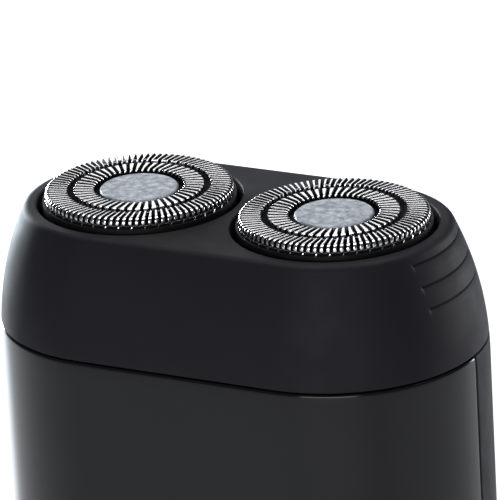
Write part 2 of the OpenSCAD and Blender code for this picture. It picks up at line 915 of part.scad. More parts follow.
// Pressed steel cap: two slotted tracks with a groove between them and a sunken centre
module guard_cap(side) {
    channel_z = z_at(groove_depth + channel_t);
    color("gainsboro")
        translate([side * head_x, 0, 0])
            difference() {
                rotate_extrude()
                    polygon(concat(
                        [[0, z_at(groove_depth)], [0, channel_z], [centre_r + channel_t, channel_z],
                            [centre_r + channel_t, z_at(guard_t)],
                            [groove_in_r - channel_t, z_at(guard_t)],
                            [groove_in_r - channel_t, channel_z],
                            [groove_out_r + channel_t, channel_z],
                            [groove_out_r + channel_t, z_at(guard_t)],
                            [guard_r - skirt_t, z_at(guard_t)], [guard_r - skirt_t, z_at(skirt_depth)],
                            [guard_r, z_at(skirt_depth)]],
                        arc(guard_r - rim_round, z_at(rim_round), rim_round, 0, 90, 4),
                        [[groove_out_r, z_at(0)], [groove_out_r, z_at(groove_depth)],
                            [groove_in_r, z_at(groove_depth)], [groove_in_r, z_at(0)],
                            [centre_r, z_at(0)], [centre_r, z_at(groove_depth)]]));
                translate([0, 0, z_at(slot_depth)])
                    linear_extrude(height = slot_depth + eps)
                        slots(outer_slots, groove_out_r + channel_t, guard_r);
                translate([0, 0, z_at(slot_depth - 0.2)])
                    linear_extrude(height = slot_depth + eps)
                        slots(inner_slots, centre_r + channel_t, groove_in_r - channel_t);
            }
}

module guard_cap_left() {
    guard_cap(-1);
}

module guard_cap_right() {
    guard_cap(1);
}

module cap_badge(side) {
    color("lightsteelblue")
        translate([side * head_x, 0, 0])
            rotate_extrude()
                polygon([[0, z_at(groove_depth) + 0.02], [badge_r, z_at(groove_depth) + 0.02],
                    [badge_r, z_at(badge_depth + 0.15)], [badge_r - 0.15, z_at(badge_depth)],
                    [0, z_at(badge_depth)]]);
}

module cap_badge_left() {
    cap_badge(-1);
}

module cap_badge_right() {
    cap_badge(1);
}

module cutter_hub(side) {
    color("#a9adb2")
        translate([side * head_x, 0, 0])
            difference() {
                union() {
                    disc(cutter_hub_r, z_at(hub_bottom), z_at(disc_depth + disc_t));
                    disc(1.9, z_at(disc_depth + disc_t) - eps, z_at(disc_depth) + 0.4);
                }
                translate([0, 0, z_at(hub_bottom) - eps])
                    cylinder(r = socket_r, h = hub_bottom - socket_top + eps, $fn = 6);
            }
}

module cutter_hub_left() {
    cutter_hub(-1);
}

module cutter_hub_right() {
    cutter_hub(1);
}

// Blade disc: radial blades with one tip in each slotted track
module cutter_blades(side) {
    reach = guard_r - skirt_t - 0.25;
    blade = [[centre_r + 0.58, z_at(disc_depth) - 0.1], [guard_r - 1.3, z_at(disc_depth) - 0.1],
        [guard_r - 1.3, z_at(web_depth)], [reach, z_at(web_depth)], [reach, z_at(tip_depth)],
        [groove_out_r + 0.57, z_at(tip_depth)], [groove_out_r + 0.57, z_at(web_depth)],
        [groove_in_r - 0.59, z_at(web_depth)], [groove_in_r - 0.59, z_at(tip_depth)],
        [centre_r + 0.58, z_at(tip_depth)]];
    color("silver")
        translate([side * head_x, 0, 0])
            difference() {
                union() {
                    disc(guard_r - 1.3, z_at(disc_depth + disc_t), z_at(disc_depth));
                    for (i = [0 : blades - 1])
                        rotate([90, 0, i * 360 / blades])
                            linear_extrude(height = blade_t, center = true) polygon(blade);
                }
                disc(1.92, z_at(disc_depth + disc_t) - eps, z_at(disc_depth) + eps);
                for (i = [0 : blades - 1])
                    rotate([0, 0, (i + 0.5) * 360 / blades])
                        translate([guard_r - 4.2, 0, 0])
                            disc(1.5, z_at(disc_depth + disc_t) - eps, z_at(disc_depth) + eps);
            }
}

module cutter_blades_left() {
    cutter_blades(-1);
}

module cutter_blades_right() {
    cutter_blades(1);
}

front_housing();
rear_housing();
battery_door();
case_screws();
switch_button();
switch_slider();
switch_contacts();
battery_tray();
cell_left();
cell_right();
cell_springs();
contact_plates();
power_strips();
motor_frame();
motor_can();
motor_end_cap();
motor_magnets();
motor_terminals();
motor_armature();
motor_shaft();
motor_pinion();
motor_screws();
gear_pins();
drive_gear_left();
drive_gear_right();
spindle_left();
spindle_right();
spindle_spring_left();
spindle_spring_right();
drive_deck();
deck_screws();
deck_seal();
spindle_seals();
head_frame();
retaining_plate();
retaining_knob();
pivot_pins_left();
pivot_pins_right();
guard_ring_left();
guard_ring_right();
guard_cap_left();
guard_cap_right();
cap_badge_left();
cap_badge_right();
cutter_hub_left();
cutter_hub_right();
cutter_blades_left();
cutter_blades_right();
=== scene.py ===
"""Looks of the two-head rotary shaver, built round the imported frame.

Sizes are in millimetres, as in the CAD, and the camera and the lights are placed in metres.
A depth is measured down from the tops of the guards.
"""

import math

import bmesh
import bpy
import numpy as np
from mathutils import Matrix, Vector


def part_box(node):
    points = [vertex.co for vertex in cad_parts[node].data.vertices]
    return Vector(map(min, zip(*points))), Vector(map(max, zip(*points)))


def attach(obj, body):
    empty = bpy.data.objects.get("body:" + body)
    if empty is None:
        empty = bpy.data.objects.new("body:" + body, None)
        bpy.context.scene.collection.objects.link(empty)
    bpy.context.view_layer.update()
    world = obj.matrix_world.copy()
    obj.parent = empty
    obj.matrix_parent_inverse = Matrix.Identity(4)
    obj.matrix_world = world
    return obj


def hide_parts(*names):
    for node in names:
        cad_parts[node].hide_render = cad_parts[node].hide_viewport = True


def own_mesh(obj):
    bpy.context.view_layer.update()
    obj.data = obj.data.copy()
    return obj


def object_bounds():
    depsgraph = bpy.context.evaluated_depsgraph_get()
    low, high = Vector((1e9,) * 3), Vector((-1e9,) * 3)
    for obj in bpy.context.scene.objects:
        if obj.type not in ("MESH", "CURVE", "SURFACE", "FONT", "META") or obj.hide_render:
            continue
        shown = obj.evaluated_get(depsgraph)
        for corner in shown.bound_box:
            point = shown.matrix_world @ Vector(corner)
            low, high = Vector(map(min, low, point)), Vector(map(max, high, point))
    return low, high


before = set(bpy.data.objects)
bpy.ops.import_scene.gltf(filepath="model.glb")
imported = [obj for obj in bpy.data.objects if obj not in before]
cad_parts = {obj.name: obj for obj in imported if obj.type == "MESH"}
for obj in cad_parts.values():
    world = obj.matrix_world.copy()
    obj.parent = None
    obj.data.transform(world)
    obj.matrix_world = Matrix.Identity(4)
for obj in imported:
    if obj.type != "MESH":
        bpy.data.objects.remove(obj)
cad_low, cad_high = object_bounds()

MM = 0.001
NUDGE = 0.002
STRAIGHT = 1e-6
SIDES = {"left": -1, "right": 1}

# Sizes that the frame gives
TOTAL_H = cad_high.z / MM
BODY_R = cad_high.y / MM
HEAD_X = cad_high.x / MM - BODY_R
GUARD_R = round(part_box("guard_cap_right")[1].y / MM, 2)
DOOR_TOP = round(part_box("battery_door")[1].z / MM, 2)

# Travel of each shaving head and of its spindle
SPINDLE_TRAVEL = 1.5

# Head housing
GUARD_PROUD = 1.5
TOP_ROLL = 1.0
FLANK_CURVE = 37.0
FLANK_DEPTH = 17.5
SEAM_DEPTH = 15.3
SEAM_ROUND = 0.25
OPENING_R = GUARD_R + 0.95
OPENING_EDGE = 0.25
LIP_DEPTH = 3.3
CAVITY_R = OPENING_R + 0.75
PLATE_DEPTH = 8.4
CHAMBER_R = CAVITY_R + 1.4
COLLAR_ROOM_R = 14.5
COLLAR_ROOM_DEPTH = 12.3
HOOK_HALF_W = 2.5
HOOK_R = 12.2
HOOK_DEPTHS = (11.2, 12.2)
PIVOT_DEPTH = 4.2
PIVOT_SLOT_HALF = 0.65
PIVOT_SLOT_R = CAVITY_R + 0.85
PIVOT_SLOT_DEPTHS = (PIVOT_DEPTH - PIVOT_SLOT_HALF, PIVOT_DEPTH + SPINDLE_TRAVEL + 0.7)
RIB_HALF_W = 6.2
RIB_FADE = 0.3
RIB_TOP = 2.75
RIB_PITCH = 2.45
RIB_DEPTHS = [RIB_TOP + RIB_PITCH * i for i in range(3)]
RIB_CUT = 0.3
RIB_SWELL = 1.1

# Guards
GUARD_T = 0.45
SLOT_W = 0.35
SLANT = math.radians(10.5)
SLOT_HALF_ARC = SLOT_W / math.cos(SLANT) / 2
OUTER_BARS = 90
INNER_BARS = 50
GROOVE_OUT_R = GUARD_R - 2.62
GROOVE_IN_R = GROOVE_OUT_R - 0.74
CENTRE_R = GROOVE_IN_R - 2.37
GROOVE_DEPTH = 0.9
CHANNEL_T = 0.35
SKIRT_DEPTH = 1.6
SKIRT_T = 0.5
RIM_ROUND = 0.55
BAR_END_DEPTH = 0.98
BAR_WALL_T = 0.25
BAR_BEND_T = 0.3
BAR_RIM_T = 0.4
BAR_EDGE = 0.07
TICK_DEPTH = 1.12
TICK_TURN = 0.012

# Body
WALL = 1.8
INNER_R = BODY_R - WALL
FLOOR_T = 2.0
DOOR_T = WALL + 0.1
SEAM_GAP = 0.15
LEDGE_DEPTH = 18.0
LEDGE_T = 1.5
DOOR_GAP = 0.2
LIP_T = 0.5
DOOR_SWEEP = math.asin(4.5 / BODY_R)
LIP_SWEEP = DOOR_SWEEP + math.radians(4)
PARTING_SWEEP = math.radians(1.2)
PARTING_CUT = 0.16
DOOR_EDGE_CUT = 0.25
SCREW_OFFSET = 8
SCREW_X = HEAD_X + SCREW_OFFSET
SCREW_HEIGHTS = (10.0, TOTAL_H - 26)
BOSS_R = 2.6
BOSS_END = math.sqrt(BODY_R ** 2 - (SCREW_OFFSET + BOSS_R) ** 2) - 0.2
PILOT_R = 0.9
PILOT_DEPTH = 7.0
SCREW_HOLE_R = 1.05
SCREW_HEAD_R = 2.0
SCREW_HEAD_Y = 10.5
SWITCH_LOW = 69.0
SWITCH_HIGH = 84.0
SWITCH_HALF_W = 5.5
RECESS_GAP = 0.8
RECESS_DEPTH = 1.8
PAD_T = 2.0

# Spindle springs
SPRING_WIRE_R = 0.2
SPRING_TURNS = 4.5


def z_at(depth):
    return TOTAL_H - depth


def flank_r(depth):
    """Radius of the body at a depth, on the long curve of the flanks."""
    if depth >= FLANK_DEPTH:
        return BODY_R
    return BODY_R - FLANK_CURVE + math.sqrt(FLANK_CURVE ** 2 - (FLANK_DEPTH - depth) ** 2)


def smooth_step(low, high, value):
    t = np.clip((value - low) / (high - low), 0, 1)
    return t * t * (3 - 2 * t)


def arc(x, z, r, start, end, steps):
    """Points of an arc about (x, z), between two angles in degrees."""
    angles = np.radians(np.linspace(start, end, steps + 1))
    return [(x + r * math.cos(a), z + r * math.sin(a)) for a in angles]


# ---- Camera ----

def add_camera():
    """Looks down on the head from the front right, a little rolled."""
    azimuth, elevation, roll = math.radians(28.5), math.radians(20.74), math.radians(3.41)
    distance = 0.6
    shift_right, shift_down = 0.00165, 0.00594
    target = Vector((0, 0, cad_high.z))
    back = Vector((math.sin(azimuth) * math.cos(elevation),
                   -math.cos(azimuth) * math.cos(elevation), math.sin(elevation)))
    place = target + back * distance
    right = (-back).cross(Vector((0, 0, 1))).normalized()
    up = right.cross(-back)
    right, up = (right * math.cos(roll) - up * math.sin(roll),
                 right * math.sin(roll) + up * math.cos(roll))
    aim = target + right * shift_right - up * shift_down
    forward = (aim - place).normalized()
    right = (right - forward * right.dot(forward)).normalized()
    up = right.cross(forward)
    camera = bpy.data.objects.new("camera", bpy.data.cameras.new("camera"))
    bpy.context.scene.collection.objects.link(camera)
    camera.matrix_world = Matrix([[right[i], up[i], -forward[i], place[i]] for i in range(3)]
                                 + [[0, 0, 0, 1]])
    camera.data.sensor_width = 36
    camera.data.lens = 379.6
    camera.data.clip_end = 10
    bpy.context.scene.camera = camera


# ---- Mesh building ----

class Shell:
    """Collects grids of points, in millimetres, into one mesh."""

    def __init__(self):
        self.points = []
        self.faces = []
        self.count = 0

    def add(self, points, faces):
        self.points.append(np.asarray(points, float).reshape(-1, 3))
        self.faces += [tuple(self.count + i for i in face) for face in faces]
        self.count += len(self.points[-1])

    def grid(self, points, wrap_rows=False, wrap_columns=False):
        """Faces between the rows and columns of an array of points (rows, columns, 3)."""
        rows, columns = points.shape[:2]
        faces = []
        for i in range(rows if wrap_rows else rows - 1):
            j = (i + 1) % rows
            for k in range(columns if wrap_columns else columns - 1):
                m = (k + 1) % columns
                faces.append((i * columns + k, i * columns + m, j * columns + m, j * columns + k))
        self.add(points, faces)

    def face(self, loop):
        self.add(loop, [tuple(range(len(loop)))])

    def build(self, name, sharp=35):
        """The mesh as an object: points merged, normals outwards, edges sharper than an angle kept."""
        mesh = bpy.data.meshes.new(name)
        mesh.from_pydata(np.concatenate(self.points) * MM, [], self.faces)
        work = bmesh.new()
        work.from_mesh(mesh)
        bmesh.ops.remove_doubles(work, verts=work.verts, dist=1e-7)
        bmesh.ops.dissolve_degenerate(work, edges=work.edges, dist=1e-8)
        bmesh.ops.triangulate(work, faces=[f for f in work.faces if len(f.verts) > 4])
        bmesh.ops.recalc_face_normals(work, faces=work.faces)
        work.to_mesh(mesh)
        work.free()
        return shade(new_object(name, mesh), sharp)


def new_object(name, mesh):
    piece = bpy.data.objects.new(name, mesh)
    bpy.context.scene.collection.objects.link(piece)
    return piece


def shade(piece, sharp=35):
    piece.data.polygons.foreach_set("use_smooth", [True] * len(piece.data.polygons))
    piece.data.set_sharp_from_angle(angle=math.radians(sharp))
    return piece


def cut(piece, cutter, operation="DIFFERENCE"):
    """Applies a boolean with another mesh, which is then removed."""
    modifier = piece.modifiers.new("cut", "BOOLEAN")
    modifier.operation = operation
    modifier.solver = "MANIFOLD"
    modifier.object = cutter
    bpy.context.view_layer.update()
    graph = bpy.context.evaluated_depsgraph_get()
    mesh = bpy.data.meshes.new_from_object(piece.evaluated_get(graph))
    piece.modifiers.clear()
    piece.data = mesh
    bpy.data.objects.remove(cutter)
    shade(piece)


def place_piece(piece, body, slot, material, *nodes):
    """Puts a finished piece on its body, in the place of its CAD nodes."""
    piece.data.materials.clear()
    piece.data.materials.append(material)
    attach(piece, body)
    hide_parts(*nodes)
    return piece


def lathe(shell, profile, x, steps):
    """Turns a closed outline of (radius, height) points round an upright axis at x."""
    angles = np.linspace(0, 2 * math.pi, steps, endpoint=False)
    profile = np.array(profile)
    points = np.stack([x + np.outer(profile[:, 0], np.cos(angles)),
                       np.outer(profile[:, 0], np.sin(angles)),
                       np.repeat(profile[:, 1:2], steps, axis=1)], axis=-1)
    shell.grid(points, wrap_rows=True, wrap_columns=True)


# ---- Stadium plan ----

class Plan:
    """Columns round a stadium plan: the middle x and the outward normal of each."""

    def __init__(self, columns):
        self.x, self.nx, self.ny = np.array(columns, float).T

    def rows(self, section, offset=None):
        """Points of a section of (radius, height) at every column; offset changes the radii."""
        section = np.array(section, float)
        r = np.repeat(section[:, :1], len(self.x), axis=1)
        z = np.repeat(section[:, 1:], len(self.x), axis=1)
        if offset is not None:
            r = r + offset(r, z, self)
        return np.stack([self.x + r * self.nx, r * self.ny, z], axis=-1)


def round_columns(x, angles):
    return [(x, math.cos(a), math.sin(a)) for a in angles]


def straight_columns(places, side):
    return [(x, 0.0, side) for x in places]


# ---- Head housing ----

def head_arc_angles():
    """Angles round one end of the head, close together where the ribs end."""
    fine_low, fine_high = math.radians(20.5), math.radians(28)
    half = np.concatenate([np.linspace(0, fine_low, 22, endpoint=False),
                           np.linspace(fine_low, fine_high, 20, endpoint=False),
                           np.linspace(fine_high, math.pi / 2, 46)])
    pivot_edge = math.pi / 2 - math.asin(PIVOT_SLOT_HALF / CAVITY_R)
    hair = 1e-4
    half = np.sort(np.concatenate([half, [pivot_edge - hair, pivot_edge + hair]]))
    return np.concatenate([-half[:0:-1], half])


def head_straight_places(top_r):
    """Places between the middle of the head and a guard's axis, as a fan of rays meets the edge."""
    fan = np.linspace(0, math.atan(HEAD_X / top_r), 26)
    places = list(HEAD_X - top_r * np.tan(fan))
    places[-1] = 0.0
    for edge in (HOOK_HALF_W, HEAD_X - PIVOT_SLOT_HALF):
        places += [edge - NUDGE, edge + NUDGE]
    return sorted(places)


def head_plan(arc_angles, places):
    across = [-x for x in reversed(places)] + places[1:]
    return Plan(round_columns(HEAD_X, arc_angles[:-1])
                + straight_columns(across[:0:-1], 1.0)
                + round_columns(-HEAD_X, (arc_angles + math.pi)[:-1])
                + straight_columns(across[:-1], -1.0))


def rib_offset(r, z, plan):
    """Three grooves across each end of the head.

    Each has a steep upper edge with a fine line below it, and swells back to the surface.
    """
    depth = TOTAL_H - z
    y = np.abs(r * plan.ny)
    at_end = 1 - smooth_step(RIB_HALF_W - RIB_FADE, RIB_HALF_W, y)
    at_end = at_end * (np.abs(plan.nx) > 0.5)
    swell_share, line_share = 0.75, 0.35
    total = np.zeros_like(r)
    for rib in RIB_DEPTHS:
        foot = rib + 0.04
        steep = smooth_step(rib - 0.08, foot, depth)
        swell = 1 - smooth_step(foot, rib + RIB_SWELL, depth) ** 0.5
        line = steep * (1 - smooth_step(rib + 0.1, rib + 0.3, depth))
        total += steep * swell * swell_share + line * line_share
    return -RIB_CUT * total * at_end


def inner_offset(r, z, plan):
    """Pockets for the pivot pins and the two hooks for the retaining knob, inside the head."""
    depth = TOTAL_H - z
    axial = np.where(np.abs(plan.nx) > STRAIGHT, CAVITY_R * plan.nx * np.sign(plan.x),
                     np.abs(plan.x) - HEAD_X)
    near_pin = np.abs(axial) < PIVOT_SLOT_HALF
    in_slot = (depth > PIVOT_SLOT_DEPTHS[0]) & (depth < PIVOT_SLOT_DEPTHS[1]) & near_pin
    in_hook = ((depth > HOOK_DEPTHS[0]) & (depth < HOOK_DEPTHS[1])
               & (np.abs(plan.nx) < STRAIGHT) & (np.abs(plan.x) < HOOK_HALF_W))
    return np.where(in_slot, PIVOT_SLOT_R - r, 0.0) + np.where(in_hook, HOOK_R - r, 0.0)


def head_outer_section():
    roll_depth = GUARD_PROUD + TOP_ROLL
    roll_x = (BODY_R - FLANK_CURVE
              + math.sqrt((FLANK_CURVE - TOP_ROLL) ** 2 - (FLANK_DEPTH - roll_depth) ** 2))
    lean = math.atan2(FLANK_DEPTH - roll_depth, roll_x - BODY_R + FLANK_CURVE)
    join = FLANK_DEPTH - FLANK_CURVE * math.sin(lean)
    roll = arc(roll_x, z_at(roll_depth), TOP_ROLL, 90, math.degrees(lean), 10)
    rib_end = RIB_DEPTHS[-1] + 1.5
    depths = np.concatenate([np.linspace(join, rib_end, 105)[1:],
                             np.linspace(rib_end, SEAM_DEPTH - SEAM_ROUND, 16)[1:]])
    edge = arc(flank_r(SEAM_DEPTH) - SEAM_ROUND, z_at(SEAM_DEPTH - SEAM_ROUND), SEAM_ROUND,
               0, -90, 4)
    return roll_x, roll + [(flank_r(d), z_at(d)) for d in depths] + edge[1:]


def edge_pairs(depths):
    """Each depth twice, just above and just below, for the square edges of a pocket."""
    return [d + step for d in depths for step in (-NUDGE, NUDGE)]


def head_inner_section():
    cavity = sorted([PLATE_DEPTH, LIP_DEPTH] + edge_pairs(PIVOT_SLOT_DEPTHS), reverse=True)
    chamber = sorted([COLLAR_ROOM_DEPTH, PLATE_DEPTH] + edge_pairs(HOOK_DEPTHS), reverse=True)
    return ([(flank_r(SEAM_DEPTH) - SEAM_ROUND, z_at(SEAM_DEPTH)),
             (COLLAR_ROOM_R, z_at(SEAM_DEPTH)), (COLLAR_ROOM_R, z_at(COLLAR_ROOM_DEPTH))]
            + [(CHAMBER_R, z_at(d)) for d in chamber] + [(CAVITY_R, z_at(d)) for d in cavity])


def opening_face(shell, arc_angles, places, top_r, edge_r, depth):
    """Flat face between the two round openings and a stadium edge."""
    middle = np.linspace(1, -1, 33)[1:-1]
    inward = [x for x in reversed(places) if x < HEAD_X]
    outer = ([(HEAD_X + edge_r * math.cos(a), edge_r * math.sin(a)) for a in arc_angles]
             + [(x, edge_r) for x in inward] + [(0.0, edge_r * m) for m in middle]
             + [(x, -edge_r) for x in reversed(inward)])
    angles = (list(arc_angles) + [math.atan2(top_r, x - HEAD_X) for x in inward]
              + [math.atan2(top_r * m, -HEAD_X) % (2 * math.pi) for m in middle]
              + [2 * math.pi + math.atan2(-top_r, x - HEAD_X) for x in reversed(inward)])
    ring = np.array([(HEAD_X + OPENING_R * math.cos(a), OPENING_R * math.sin(a)) for a in angles])
    outer = np.array(outer)
    grow = OPENING_EDGE if depth == GUARD_PROUD else 0.0
    centre = np.array([HEAD_X, 0.0])
    inner = centre + (ring - centre) * (OPENING_R + grow) / OPENING_R
    for side in (1, -1):
        rows = [inner + (outer - inner) * t for t in np.linspace(0, 1, 4)]
        points = np.array([[(side * x, y, z_at(depth)) for x, y in row] for row in rows])
        shell.grid(points, wrap_columns=True)
    return angles


def opening_wall(shell, angles):
    """Wall of each round opening, with its rounded upper edge."""
    edge = arc(OPENING_R + OPENING_EDGE, z_at(GUARD_PROUD + OPENING_EDGE), OPENING_EDGE, 180, 90, 5)
    profile = np.array([(OPENING_R, z_at(LIP_DEPTH))] + edge)
    for side in (1, -1):
        points = np.array([[(side * (HEAD_X + r * math.cos(a)), r * math.sin(a), z)
                            for a in angles] for r, z in profile])
        shell.grid(points, wrap_columns=True)


def web_between_heads(shell):
    """Upright web under the bridge between the openings."""
    half_x, half_y = 0.62, 3.0
    low, high = z_at(PLATE_DEPTH), z_at(LIP_DEPTH) + 0.3
    chamfer = 0.2
    outline = [(-half_x, -half_y), (half_x, -half_y), (half_x, half_y), (-half_x, half_y)]
    rings = [[(x * across, y * along, z) for x, y in outline]
             for z, across, along in ((low, 0.7, 0.98), (low + chamfer, 1, 1), (high, 1, 1))]
    shell.grid(np.array(rings), wrap_columns=True)
    shell.face(rings[0])
    shell.face(rings[-1])


def make_head_frame(material):
    shell = Shell()
    arc_angles = head_arc_angles()
    top_r, outer = head_outer_section()
    places = head_straight_places(top_r)
    plan = head_plan(arc_angles, places)
    shell.grid(plan.rows(outer, rib_offset), wrap_columns=True)
    shell.grid(plan.rows(head_inner_section(), inner_offset), wrap_columns=True)
    angles = opening_face(shell, arc_angles, places, top_r, top_r, GUARD_PROUD)
    opening_face(shell, arc_angles, places, top_r, CAVITY_R, LIP_DEPTH)
    opening_wall(shell, angles)
    web_between_heads(shell)
    piece = shell.build("head_housing", 30)
    return place_piece(piece, "head", "soft_housing", material, "head_frame")


# ---- Guards ----

def slant_angle(r, middle):
    """Turn of a slanted bar's centreline at radius r, about its place at the middle radius."""
    run = -middle * math.cos(SLANT) + math.sqrt(r ** 2 - (middle * math.sin(SLANT)) ** 2)
    return math.atan2(-run * math.sin(SLANT), middle + run * math.cos(SLANT))


def bar_half_width(r, count):
    return math.pi * r / count - SLOT_HALF_ARC


def slanted_axes(angle, r, middle):
    """Outward and sideways directions of a slanted bar or slot where it crosses radius r."""
    turn = angle + slant_angle(r, middle)
    return (np.array([math.cos(turn), math.sin(turn), 0.0]),
            np.array([-math.sin(turn), math.cos(turn), 0.0]))


def bar_section(half_w, thickness, edge):
    """Across a bar: (sideways, outwards) points, flat on top with rounded upper edges."""
    bend = [(half_w - edge + edge * math.cos(a), -edge + edge * math.sin(a))
            for a in np.radians((0, 45, 90))]
    return ([(half_w, -thickness)] + bend + [(-x, y) for x, y in reversed(bend)]
            + [(-half_w, -thickness)])


def add_bar(shell, x, angle, path, count, middle):
    """One bar swept along (radius, depth, outward radius, outward height, thickness, width share)."""
    rings = []
    for r, depth, out_r, out_z, thickness, share in path:
        radial, sideways = slanted_axes(angle, r, middle)
        outwards = radial * out_r + np.array([0.0, 0.0, out_z])
        place = radial * r + np.array([x, 0.0, z_at(depth)])
        half_w = bar_half_width(r, count) * share
        edge = min(BAR_EDGE, half_w * 0.45)
        rings.append([place + sideways * a + outwards * b
                      for a, b in bar_section(half_w, thickness, edge)])
    shell.grid(np.array(rings), wrap_columns=True)
    shell.face(rings[0])
    shell.face(rings[-1])


def outer_bar_path():
    """From the wall of the groove, over the face and the rounded rim, down the skirt."""
    start = [(GROOVE_OUT_R, 0.55, -1, 0, BAR_WALL_T, 1), (GROOVE_OUT_R, 0.14, -1, 0, BAR_WALL_T, 1),
             (GROOVE_OUT_R + 0.04, 0.04, -0.7, 0.7, BAR_BEND_T, 1),
             (GROOVE_OUT_R + 0.14, 0.0, 0, 1, GUARD_T, 1)]
    face = [(r, 0.0, 0, 1, GUARD_T, 1)
            for r in np.linspace(GROOVE_OUT_R + 0.3, GUARD_R - RIM_ROUND, 6)]
    rim = [(GUARD_R - RIM_ROUND + RIM_ROUND * math.sin(a), RIM_ROUND - RIM_ROUND * math.cos(a),
            math.sin(a), math.cos(a), BAR_RIM_T, 1) for a in np.radians((18, 36, 54, 72, 90))]
    end = [(GUARD_R, BAR_END_DEPTH - 0.2, 1, 0, BAR_RIM_T, 1.0),
           (GUARD_R, BAR_END_DEPTH - 0.08, 1, 0, BAR_RIM_T, 0.86),
           (GUARD_R - 0.03, BAR_END_DEPTH - 0.02, 1, 0, 0.35, 0.6),
           (GUARD_R - 0.1, BAR_END_DEPTH, 1, 0, BAR_WALL_T, 0.35)]
    return start + face + rim + end


def inner_bar_path():
    """From the badge gap over the face to the groove."""
    start = [(CENTRE_R, 0.7, -1, 0, BAR_WALL_T, 0.9), (CENTRE_R, 0.2, -1, 0, BAR_WALL_T, 0.95),
             (CENTRE_R + 0.06, 0.06, -0.7, 0.7, BAR_BEND_T, 1),
             (CENTRE_R + 0.2, 0.0, 0, 1, GUARD_T, 1)]
    face = [(r, 0.0, 0, 1, GUARD_T, 1)
            for r in np.linspace(CENTRE_R + 0.4, GROOVE_IN_R - 0.25, 6)]
    end = [(GROOVE_IN_R - 0.1, 0.0, 0, 1, GUARD_T, 1),
           (GROOVE_IN_R - 0.02, 0.05, 0.7, 0.7, BAR_BEND_T, 1),
           (GROOVE_IN_R, 0.14, 1, 0, BAR_WALL_T, 1), (GROOVE_IN_R, 0.62, 1, 0, BAR_WALL_T, 0.95)]
    return start + face + end


def add_slot_end(shell, x, angle, middle):
    """Steel that closes the inner end of a slot and joins its two bars into a hairpin."""
    wall_r, near_r, far_r = GROOVE_OUT_R + 0.01, GROOVE_OUT_R + 0.08, GROOVE_OUT_R + 0.24
    half_w = SLOT_HALF_ARC + 0.06
    rings = []
    for r, depth, thickness in ((wall_r, 0.5, BAR_WALL_T), (wall_r, 0.16, BAR_WALL_T),
                                (near_r, 0.09, BAR_BEND_T),
                                ((near_r + far_r) / 2, 0.07, BAR_BEND_T),
                                (far_r, 0.09, BAR_BEND_T)):
        radial, sideways = slanted_axes(angle, r, middle)
        place = radial * r + np.array([x, 0.0, z_at(depth)])
        rings.append([place + sideways * a - radial * b
                      for a, b in ((half_w, -thickness), (half_w, 0), (-half_w, 0),
                                   (-half_w, -thickness))])
    shell.grid(np.array(rings), wrap_columns=True)
    shell.face(rings[0])
    shell.face(rings[-1])


def add_tick(shell, x, angle):
    """Small slanted tab on the skirt below a bar."""
    lean = math.radians(24)
    half_w, half_h = 0.075, 0.2
    r = GUARD_R + 0.01
    rings = []
    for out, grow in ((-0.12, 1.0), (0.03, 1.0), (0.07, 0.6)):
        ring = []
        for a, b in ((-1, -1), (1, -1), (1, 1), (-1, 1)):
            side = a * half_w * grow * math.cos(lean) + b * half_h * grow * math.sin(lean)
            rise = b * half_h * grow * math.cos(lean) - a * half_w * grow * math.sin(lean)
            turn = angle + side / r
            ring.append((x + (r + out) * math.cos(turn), (r + out) * math.sin(turn),
                         z_at(TICK_DEPTH) + rise))
        rings.append(ring)
    shell.grid(np.array(rings), wrap_columns=True)
    shell.face(rings[0])
    shell.face(rings[-1])


def paint_slot_shade(piece, x):
    """Painted shade: the slot walls, the underside and the skirt take a near-black material that
    stands in for the shade there; the polished outside stays steel.
    """
    sideways, downward, shade_depth = 0.75, -0.5, 0.3
    # Near-black painted shade on faces turned sideways or down, and on every deeper face except the
    # ticks, bar ends and groove walls.
    piece.data.materials.append(SLOT_SHADE)
    dark = len(piece.data.materials) - 1
    for face in piece.data.polygons:
        place, normal = face.center / MM, face.normal
        depth = TOTAL_H - place.z
        radius = math.hypot(place.x - x, place.y)
        across = abs((place.x - x) * normal.y - place.y * normal.x) / max(radius, 0.01)
        tick = radius > GUARD_R + 0.02
        bar_end = depth < BAR_END_DEPTH and radius > GUARD_R - 0.12
        groove_wall = (GROOVE_IN_R - 0.05 < radius < GROOVE_OUT_R + 0.05
                       and abs(normal.z) < 0.5 and depth < GROOVE_DEPTH - 0.1)
        low = depth > shade_depth and not (tick or bar_end or groove_wall)
        if (across > sideways and not tick) or normal.z < downward or low:
            face.material_index = dark


